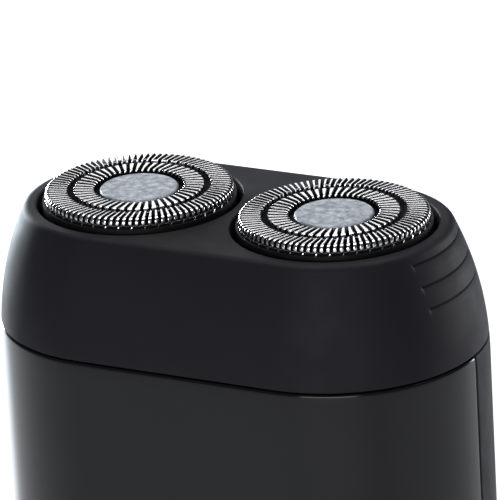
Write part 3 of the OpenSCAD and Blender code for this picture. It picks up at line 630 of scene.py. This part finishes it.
def make_guard_cap(side, material):
    """Pressed steel cap: two tracks of slanted bars, the groove between them and the skirt."""
    shell = Shell()
    x = SIDES[side] * HEAD_X
    outer_middle = (GROOVE_OUT_R + GUARD_R) / 2
    inner_middle = (CENTRE_R + GROOVE_IN_R) / 2
    outer_path, inner_path = outer_bar_path(), inner_bar_path()
    for i in range(OUTER_BARS):
        angle = 2 * math.pi * (i + 0.5) / OUTER_BARS
        add_bar(shell, x, angle, outer_path, OUTER_BARS, outer_middle)
        if i % 2:
            slot_angle = 2 * math.pi * (i + 1) / OUTER_BARS
            add_slot_end(shell, x, slot_angle, outer_middle)
            add_tick(shell, x, angle + slant_angle(GUARD_R, outer_middle) + TICK_TURN)
    for i in range(INNER_BARS):
        angle = 2 * math.pi * (i + 0.5) / INNER_BARS
        add_bar(shell, x, angle, inner_path, INNER_BARS, inner_middle)
    channel = [(GROOVE_OUT_R + 0.02, 0.5), (GROOVE_OUT_R + 0.02, GROOVE_DEPTH - 0.1),
               (GROOVE_OUT_R - 0.1, GROOVE_DEPTH), (GROOVE_IN_R + 0.1, GROOVE_DEPTH),
               (GROOVE_IN_R - 0.02, GROOVE_DEPTH - 0.1), (GROOVE_IN_R - 0.02, 0.5),
               (GROOVE_IN_R - 0.25, 0.5), (GROOVE_IN_R - 0.25, GROOVE_DEPTH + CHANNEL_T),
               (GROOVE_OUT_R + 0.25, GROOVE_DEPTH + CHANNEL_T), (GROOVE_OUT_R + 0.25, 0.5)]
    centre = [(0.0, GROOVE_DEPTH), (CENTRE_R - 0.08, GROOVE_DEPTH), (CENTRE_R + 0.02, 0.8),
              (CENTRE_R + 0.02, 0.55), (CENTRE_R + 0.22, 0.55),
              (CENTRE_R + 0.22, GROOVE_DEPTH + CHANNEL_T), (0.0, GROOVE_DEPTH + CHANNEL_T)]
    skirt = [(GUARD_R - 0.05, BAR_END_DEPTH - 0.14), (GUARD_R - 0.01, BAR_END_DEPTH - 0.1),
             (GUARD_R - 0.01, SKIRT_DEPTH), (GUARD_R - SKIRT_T, SKIRT_DEPTH),
             (GUARD_R - SKIRT_T, BAR_END_DEPTH - 0.14)]
    for profile in (channel, centre, skirt):
        lathe(shell, [(r, z_at(d)) for r, d in profile], x, 240)
    piece = shell.build(f"guard_{side}_steel", 40)
    place_piece(piece, f"guard_{side}", "guard_steel", material, f"guard_cap_{side}")
    paint_slot_shade(piece, x)
    return piece


# ---- Body shells ----

def shell_section():
    """Closed section of the body: base, rounded base edge, wall, flank, rim, ledge and floor."""
    rim = SEAM_DEPTH + SEAM_GAP
    rim_r = flank_r(rim)
    outer = ([(0.0, 0.0)] + arc(BODY_R - DOOR_T, DOOR_T, DOOR_T, -90, 0, 10)
             + [(BODY_R, z) for z in np.linspace(6, z_at(FLANK_DEPTH), 26)]
             + [(flank_r(d), z_at(d)) for d in np.linspace(FLANK_DEPTH, rim + SEAM_ROUND, 7)[1:]]
             + arc(rim_r - SEAM_ROUND, z_at(rim + SEAM_ROUND), SEAM_ROUND, 0, 90, 4)[1:])
    inner = [(INNER_R, z_at(rim)), (INNER_R, z_at(LEDGE_DEPTH)), (INNER_R - 1, z_at(LEDGE_DEPTH)),
             (INNER_R - 1, z_at(LEDGE_DEPTH + LEDGE_T)),
             (INNER_R, z_at(LEDGE_DEPTH + LEDGE_T + 1)), (INNER_R, FLOOR_T), (0.0, FLOOR_T)]
    return outer + inner


def parting_edge(r, z, plan):
    """Rounds the outer edge next to the plane between the two half shells."""
    near = 1 - smooth_step(0.0, math.sin(PARTING_SWEEP), np.abs(plan.ny))
    return np.where(r > INNER_R + 0.5, -PARTING_CUT * near ** 2, 0.0)


def half_shell(name, side):
    """Half of the body on the -Y side (side -1) or the +Y side (side 1)."""
    turn = np.concatenate([[0, 0.25, 0.5, 0.8, 1.2], np.linspace(2.5, 90, 36)])
    angles = np.radians(turn) * side
    straight = np.linspace(HEAD_X, -HEAD_X, 12)[1:-1]
    plan = Plan(round_columns(HEAD_X, angles) + straight_columns(straight, float(side))
                + round_columns(-HEAD_X, side * math.pi - angles[::-1]))
    shell = Shell()
    rows = plan.rows(shell_section(), parting_edge)
    shell.grid(rows, wrap_rows=True)
    shell.face(rows[:, 0])
    shell.face(rows[:, -1])
    return shell.build(name)


def prism(name, half_w, low, high, corner, layers):
    """Rounded upright rectangle in X and Z, drawn at each (y, growth) layer and joined along Y."""
    shell = Shell()
    rings = []
    for y, grow in layers:
        r = corner + grow
        corners = ((half_w - corner, high - corner, 0), (-half_w + corner, high - corner, 90),
                   (-half_w + corner, low + corner, 180), (half_w - corner, low + corner, 270))
        outline = [p for cx, cz, start in corners for p in arc(cx, cz, r, start, start + 90, 6)]
        rings.append([(x, y, z) for x, z in outline])
    shell.grid(np.array(rings), wrap_columns=True)
    shell.face(rings[0])
    shell.face(rings[-1])
    return shell.build(name)


def turned_y(shell, profile, x, z):
    """Turns (radius, y) points round an axis along Y."""
    angles = np.linspace(0, 2 * math.pi, 40, endpoint=False)
    rings = [[(x + r * math.cos(a), y, z + r * math.sin(a)) for a in angles] for r, y in profile]
    shell.grid(np.array(rings), wrap_columns=True)
    shell.face(rings[0])
    shell.face(rings[-1])


def at_screws(name, profile):
    """The same turned shape at all four case screws."""
    shell = Shell()
    for x in (-SCREW_X, SCREW_X):
        for z in SCREW_HEIGHTS:
            turned_y(shell, profile, x, z)
    return shell.build(name)


def make_front_housing(material):
    piece = half_shell("front_shell", -1)
    cut(piece, at_screws("bosses", [(BOSS_R, -BOSS_END), (BOSS_R, 0.0)]), "UNION")
    pad_back = -BODY_R + RECESS_DEPTH + PAD_T
    pad = prism("pad", SWITCH_HALF_W + 2.5, SWITCH_LOW - 3, SWITCH_HIGH + 3, 0.8,
                [(-BODY_R + WALL - 0.3, 0), (pad_back, 0)])
    cut(piece, pad, "UNION")
    floor_y = -BODY_R + RECESS_DEPTH
    recess = prism("recess", SWITCH_HALF_W + RECESS_GAP, SWITCH_LOW - RECESS_GAP,
                   SWITCH_HIGH + RECESS_GAP, 1.6,
                   [(-BODY_R - 0.4, 0.45), (-BODY_R, 0.3), (-BODY_R + 0.09, 0.13),
                    (-BODY_R + 0.3, 0.0), (floor_y - 0.2, 0.0), (floor_y - 0.05, -0.06),
                    (floor_y, -0.2)])
    cut(piece, recess)
    slot = prism("slot", 1.5, SWITCH_LOW + 2.8, SWITCH_HIGH - 2.8, 0.3,
                 [(floor_y - 0.5, 0), (pad_back + 0.5, 0)])
    cut(piece, slot)
    cut(piece, at_screws("holes", [(PILOT_R, -PILOT_DEPTH), (PILOT_R, 0.5)]))
    return place_piece(piece, "housing", "gloss_housing", material, "front_housing")


def band_plan(sweep):
    """Columns of a band across the back that bends round by sweep at both ends."""
    fine = np.radians([0, 0.4, 0.8, 1.2])
    bend = np.concatenate([fine, np.linspace(fine[-1], sweep, 12)[1:]])
    right = math.pi / 2 - sweep + bend
    straight = np.linspace(HEAD_X, -HEAD_X, 12)[1:-1]
    return Plan(round_columns(HEAD_X, right) + straight_columns(straight, 1.0)
                + round_columns(-HEAD_X, math.pi - right[::-1]))


def band(name, section, sweep, offset=None):
    shell = Shell()
    rows = band_plan(sweep).rows(section, offset)
    shell.grid(rows, wrap_rows=True)
    shell.face(rows[:, 0])
    shell.face(rows[:, -1])
    return shell.build(name)


def box_section(r0, r1, z0, z1):
    return [(r0, z0), (r1, z0), (r1, z1), (r0, z1)]


def make_rear_housing(material):
    piece = half_shell("rear_shell", 1)
    cut(piece, at_screws("bosses", [(BOSS_R, 0.0), (BOSS_R, BOSS_END)]), "UNION")
    opening_top = DOOR_TOP + DOOR_GAP
    outer = BODY_R - DOOR_T
    room = math.radians(0.7)
    floor_r = outer - LIP_T - 0.5
    cut(piece, band("opening", box_section(floor_r, BODY_R + 2, -1, opening_top),
                    DOOR_SWEEP + room))
    cut(piece, band("lip_room", box_section(floor_r, INNER_R + 0.05, -1, FLOOR_T + 1),
                    LIP_SWEEP + room))
    cut(piece, at_screws("counterbores", [(SCREW_HOLE_R, -0.5), (SCREW_HOLE_R, SCREW_HEAD_Y),
                                          (SCREW_HEAD_R, SCREW_HEAD_Y), (SCREW_HEAD_R, BODY_R - 1)]))
    return place_piece(piece, "housing", "soft_housing", material, "rear_housing")


def make_battery_door(material):
    outer = BODY_R - DOOR_T
    lip_out = outer - 0.1
    lip_in = lip_out - LIP_T
    rounded = 0.3
    section = ([(lip_in, 0.0)] + arc(outer, DOOR_T, DOOR_T, -90, 0, 10)
               + [(BODY_R, z) for z in np.linspace(5, DOOR_TOP - rounded - 1, 20)]
               + arc(BODY_R - rounded, DOOR_TOP - rounded, rounded, 0, 90, 4)
               + [(outer, DOOR_TOP), (outer, DOOR_TOP - 1), (lip_in, DOOR_TOP - 1)])

    def edge(r, z, plan):
        from_end = DOOR_SWEEP - np.arccos(np.clip(plan.ny, -1, 1))
        near = 1 - smooth_step(0.0, PARTING_SWEEP, from_end)
        near = np.where(np.abs(plan.nx) > STRAIGHT, near, 0.0)
        return np.where(r > BODY_R - 1.2, -DOOR_EDGE_CUT * near ** 2, 0.0)

    piece = band("door_panel", section, DOOR_SWEEP, edge)
    cut(piece, band("lips", box_section(lip_in, lip_out, 0.0, DOOR_TOP - 1), LIP_SWEEP), "UNION")
    grip_count, grip_pitch, grip_h, grip_half_w = 5, 2, 1, 7.0
    for i in range(grip_count):
        low = DOOR_TOP - 8 - grip_pitch * i
        cut(piece, prism("grip", grip_half_w, low, low + grip_h, 0.45,
                         [(BODY_R - 0.5, -0.2), (BODY_R - 0.42, -0.06), (BODY_R - 0.12, 0.02),
                          (BODY_R, 0.16), (BODY_R + 0.3, 0.3)]))
    return place_piece(piece, "door", "soft_housing", material, "battery_door")


# ---- Spindle springs ----

def make_spindle_spring(side, material):
    """Coil spring with closed ends, on the gear body of its side."""
    low, high = (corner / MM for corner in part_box(f"spindle_spring_{side}"))
    coil_r = (high.x - low.x) / 2 - SPRING_WIRE_R
    bottom, top = low.z + SPRING_WIRE_R, high.z - SPRING_WIRE_R
    across = np.radians(np.arange(0, 360, 30))
    rings = []
    for t in np.linspace(0, SPRING_TURNS, 163):
        turn = 2 * math.pi * t
        z = bottom + (top - bottom) * min(max((t - 0.5) / (SPRING_TURNS - 1), 0), 1)
        r = coil_r + SPRING_WIRE_R * np.cos(across)
        rings.append(np.stack([SIDES[side] * HEAD_X + r * math.cos(turn), r * math.sin(turn),
                               z + SPRING_WIRE_R * np.sin(across)], axis=-1))
    shell = Shell()
    shell.grid(np.array(rings), wrap_columns=True)
    shell.face(rings[0])
    shell.face(rings[-1])
    piece = shell.build(f"spindle_spring_{side}_wire", 40)
    place_piece(piece, f"gear_{side}", "spring_steel", material, f"spindle_spring_{side}")
    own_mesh(piece)
    return piece


# ---- Materials ----

class Finish:
    """A Principled material with noise laid over it in the object's own coordinates."""

    def __init__(self, name, colour, roughness, metallic=0.0, specular=0.5):
        self.material = bpy.data.materials.new(name)
        self.material.use_nodes = True
        self.tree = self.material.node_tree
        self.shader = self.tree.nodes["Principled BSDF"]
        self.shader.inputs["Base Color"].default_value = (*colour, 1)
        self.shader.inputs["Roughness"].default_value = roughness
        self.shader.inputs["Metallic"].default_value = metallic
        self.shader.inputs["Specular IOR Level"].default_value = specular
        self.coordinates = self.tree.nodes.new("ShaderNodeTexCoord").outputs["Object"]
        self.bump_chain = None

    def link(self, output, target):
        self.tree.links.new(output, target)

    def noise(self, scale, stretch=(1, 1, 1), detail=3.0, rough=0.5):
        """Noise with a number of cells per millimetre, stretched along the axes."""
        mapping = self.tree.nodes.new("ShaderNodeMapping")
        mapping.inputs["Scale"].default_value = stretch
        texture = self.tree.nodes.new("ShaderNodeTexNoise")
        texture.inputs["Scale"].default_value = scale / MM
        texture.inputs["Detail"].default_value = detail
        texture.inputs["Roughness"].default_value = rough
        self.link(self.coordinates, mapping.inputs["Vector"])
        self.link(mapping.outputs["Vector"], texture.inputs["Vector"])
        return texture.outputs["Fac"]

    def roughness(self, source, low, high):
        """Spreads the middle of a noise over a range of roughness."""
        spread = self.tree.nodes.new("ShaderNodeMapRange")
        spread.inputs["From Min"].default_value = 0.3
        spread.inputs["From Max"].default_value = 0.7
        spread.inputs["To Min"].default_value = low
        spread.inputs["To Max"].default_value = high
        self.link(source, spread.inputs["Value"])
        self.link(spread.outputs["Result"], self.shader.inputs["Roughness"])
        return self

    def colours(self, source, stops):
        ramp = self.tree.nodes.new("ShaderNodeValToRGB")
        elements = ramp.color_ramp.elements
        while len(elements) < len(stops):
            elements.new(0.5)
        for element, (place, colour) in zip(elements, stops):
            element.position = place
            element.color = (*colour, 1)
        self.link(source, ramp.inputs["Fac"])
        self.link(ramp.outputs["Color"], self.shader.inputs["Base Color"])
        return self

    def bump(self, source, height):
        """Adds relief; height is in millimetres."""
        node = self.tree.nodes.new("ShaderNodeBump")
        node.inputs["Distance"].default_value = height * MM
        node.inputs["Strength"].default_value = 1.0
        self.link(source, node.inputs["Height"])
        if self.bump_chain is not None:
            self.link(self.bump_chain, node.inputs["Normal"])
        self.bump_chain = node.outputs["Normal"]
        self.link(self.bump_chain, self.shader.inputs["Normal"])
        return self


def shades(colour, spread):
    """Darker and lighter stops round a colour."""
    return [(0.3, tuple(c * (1 - spread) for c in colour)),
            (0.7, tuple(c * (1 + spread) for c in colour))]


def moulded(name, colour, roughness=0.45, specular=0.4, grain=0.004):
    finish = Finish(name, colour, roughness, specular=specular)
    finish.colours(finish.noise(0.15), shades(colour, 0.06))
    finish.roughness(finish.noise(0.5, detail=5), roughness - 0.06, roughness + 0.08)
    finish.bump(finish.noise(5.0, detail=2), grain)
    return finish.material


def metal(name, colour, roughness, stretch=(1, 1, 1), scratch=0.001, spread=0.05):
    finish = Finish(name, colour, roughness, metallic=1.0)
    finish.colours(finish.noise(0.4), shades(colour, spread))
    finish.roughness(finish.noise(2.0, stretch, detail=6), roughness * 0.7, roughness * 1.5)
    finish.bump(finish.noise(6.0, stretch, detail=3), scratch)
    return finish.material


def soft_touch():
    """Rubbery black coat on the head, the rear shell and the door."""
    colour = (0.0082, 0.0078, 0.0118)
    finish = Finish("soft_touch_black", colour, 0.62, specular=0.2)
    finish.colours(finish.noise(0.08, detail=4), shades(colour, 0.12))
    finish.roughness(finish.noise(0.3, detail=6), 0.57, 0.67)
    finish.bump(finish.noise(4.5, detail=3), 0.003)
    return finish.material


def gloss_black():
    colour = (0.006, 0.006, 0.0075)
    finish = Finish("gloss_black", colour, 0.12, specular=0.33)
    finish.colours(finish.noise(0.1), shades(colour, 0.1))
    finish.roughness(finish.noise(1.1, detail=8, rough=0.6), 0.1, 0.145)
    finish.bump(finish.noise(0.12, detail=2), 0.002)
    return finish.material


def frosted_badge():
    finish = Finish("frosted_badge", (0.34, 0.38, 0.43), 0.42, metallic=0.4)
    mottled = finish.noise(1.1, detail=7, rough=0.75)
    finish.colours(mottled, [(0.38, (0.2, 0.235, 0.27)), (0.5, (0.37, 0.41, 0.46)),
                             (0.62, (0.6, 0.64, 0.69))])
    finish.roughness(finish.noise(3.0, detail=4), 0.3, 0.5)
    finish.bump(finish.noise(7.0, detail=4), 0.01)
    return finish.material


def cell_sleeve():
    """Printed sleeve with a pale band and bare steel ends."""
    finish = Finish("cell_sleeve", (0.1, 0.22, 0.13), 0.35, metallic=0.3)
    split = finish.tree.nodes.new("ShaderNodeSeparateXYZ")
    finish.link(finish.coordinates, split.inputs["Vector"])
    spread = finish.tree.nodes.new("ShaderNodeMapRange")
    low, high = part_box("cell_left")
    spread.inputs["From Min"].default_value = low.z
    spread.inputs["From Max"].default_value = high.z
    finish.link(split.outputs["Z"], spread.inputs["Value"])
    green, pale, steel = (0.05, 0.16, 0.09), (0.6, 0.6, 0.55), (0.6, 0.6, 0.6)
    finish.colours(spread.outputs["Result"],
                   [(0.0, steel), (0.02, green), (0.7, pale), (0.73, green), (0.965, steel)])
    finish.tree.nodes["Color Ramp"].color_ramp.interpolation = "CONSTANT"
    finish.roughness(finish.noise(0.5, detail=5), 0.25, 0.4)
    finish.bump(finish.noise(2.0), 0.002)
    return finish.material


MATERIALS = {
    "gloss_housing": gloss_black(),
    "soft_housing": soft_touch(),
    "switch_plastic": moulded("switch_plastic", (0.035, 0.035, 0.04), 0.5, 0.35),
    "screw_steel": metal("screw_steel", (0.6, 0.6, 0.62), 0.25),
    "spring_steel": metal("spring_steel", (0.62, 0.62, 0.64), 0.25),
    "plate_steel": metal("plate_steel", (0.66, 0.66, 0.68), 0.3, (1, 8, 1)),
    "brass": metal("brass", (0.78, 0.6, 0.3), 0.3, (8, 1, 1)),
    "tray_plastic": moulded("tray_plastic", (0.05, 0.05, 0.055)),
    "cell_sleeve": cell_sleeve(),
    "motor_steel": metal("motor_steel", (0.55, 0.55, 0.56), 0.32, (1, 1, 0.1)),
    "white_plastic": moulded("white_plastic", (0.75, 0.74, 0.7)),
    "magnet": moulded("magnet", (0.1, 0.1, 0.11), 0.6, 0.4, 0.01),
    "winding": metal("winding", (0.5, 0.2, 0.08), 0.35, (1, 1, 20), 0.02),
    "gear_plastic": moulded("gear_plastic", (0.72, 0.69, 0.6), 0.4),
    "deck_plastic": moulded("deck_plastic", (0.03, 0.03, 0.034)),
    "rubber": moulded("rubber", (0.03, 0.03, 0.03), 0.75, 0.25, 0.008),
    "retainer_plastic": moulded("retainer_plastic", (0.12, 0.12, 0.13)),
    "knob_plastic": moulded("knob_plastic", (0.28, 0.29, 0.3)),
    "ring_plastic": moulded("ring_plastic", (0.006, 0.006, 0.007), 0.5, 0.25),
    "guard_steel": metal("guard_steel", (0.86, 0.86, 0.88), 0.16, (1, 1, 1), 0.0006, 0.03),
    "badge": frosted_badge(),
    "hub_plastic": moulded("hub_plastic", (0.3, 0.31, 0.33)),
    # Blade colour darkened well below the other steels: painted shade for the dark seen through the
    # guard slots.
    "blade_steel": metal("blade_steel", (0.3, 0.3, 0.31), 0.35, (6, 6, 1)),
}

# Near-black material for the guards' slot walls, undersides and skirt: painted shade.
SLOT_SHADE = moulded("guard_slot_wall", (0.006, 0.006, 0.007), 0.65, 0.06, 0.002)


def dress_nodes():
    """Gives each CAD node that stays in view the material of its slot."""
    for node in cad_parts.values():
        for index, old in enumerate(node.data.materials):
            slot = old.name.split(".")[0]
            if slot in MATERIALS:
                node.data.materials[index] = MATERIALS[slot]
            else:
                print("NO SLOT", node.name, old.name)


# ---- Studio ----

def area_light(name, place, aim, size, power, colour=(1.0, 1.0, 1.0)):
    light = bpy.data.lights.new(name, "AREA")
    light.shape = "RECTANGLE"
    light.size, light.size_y = size
    light.energy = power
    light.color = colour
    holder = bpy.data.objects.new(name, light)
    holder.location = place
    holder.rotation_euler = (Vector(aim) - Vector(place)).to_track_quat("-Z", "Y").to_euler()
    bpy.context.scene.collection.objects.link(holder)


def add_studio():
    """Pale floor, a dim even surround and soft boxes above, behind, in front and at both sides."""
    mesh = bpy.data.meshes.new("floor")
    half = 6.0
    mesh.from_pydata([(-half, -half, 0), (half, -half, 0), (half, half, 0), (-half, half, 0)], [],
                     [(0, 1, 2, 3)])
    floor = new_object("floor", mesh)
    finish = Finish("studio_floor", (0.85, 0.85, 0.85), 0.6, specular=0.2)
    floor.data.materials.append(finish.material)
    world = bpy.data.worlds.new("surround")
    world.use_nodes = True
    background = world.node_tree.nodes["Background"]
    background.inputs["Color"].default_value = (0.95, 0.97, 1.0, 1)
    background.inputs["Strength"].default_value = 0.09
    bpy.context.scene.world = world
    middle = (0, 0, 0.11)
    area_light("top_box", (-0.05, 0.3, 1.1), (0, 0.25, 0), (1.0, 0.8), 8.5)
    area_light("back_box", (-0.48, 0.8, 0.47), middle, (0.34, 0.25), 0.42)
    area_light("left_box", (-0.6, 0.42, 0.14), middle, (0.22, 0.24), 9.5, (0.84, 0.93, 1.0))
    area_light("right_box", (0.42, 0.6, 0.15), middle, (0.15, 0.26), 2.1, (0.95, 0.97, 1.0))
    area_light("front_box", (0.3, -1.0, 0.3), middle, (0.8, 0.5), 5)
    bpy.context.scene.view_settings.view_transform = "Standard"


add_camera()
dress_nodes()
make_head_frame(MATERIALS["soft_housing"])
for side_name in SIDES:
    make_guard_cap(side_name, MATERIALS["guard_steel"])
    make_spindle_spring(side_name, MATERIALS["spring_steel"])
make_front_housing(MATERIALS["gloss_housing"])
make_rear_housing(MATERIALS["soft_housing"])
make_battery_door(MATERIALS["soft_housing"])
add_studio()
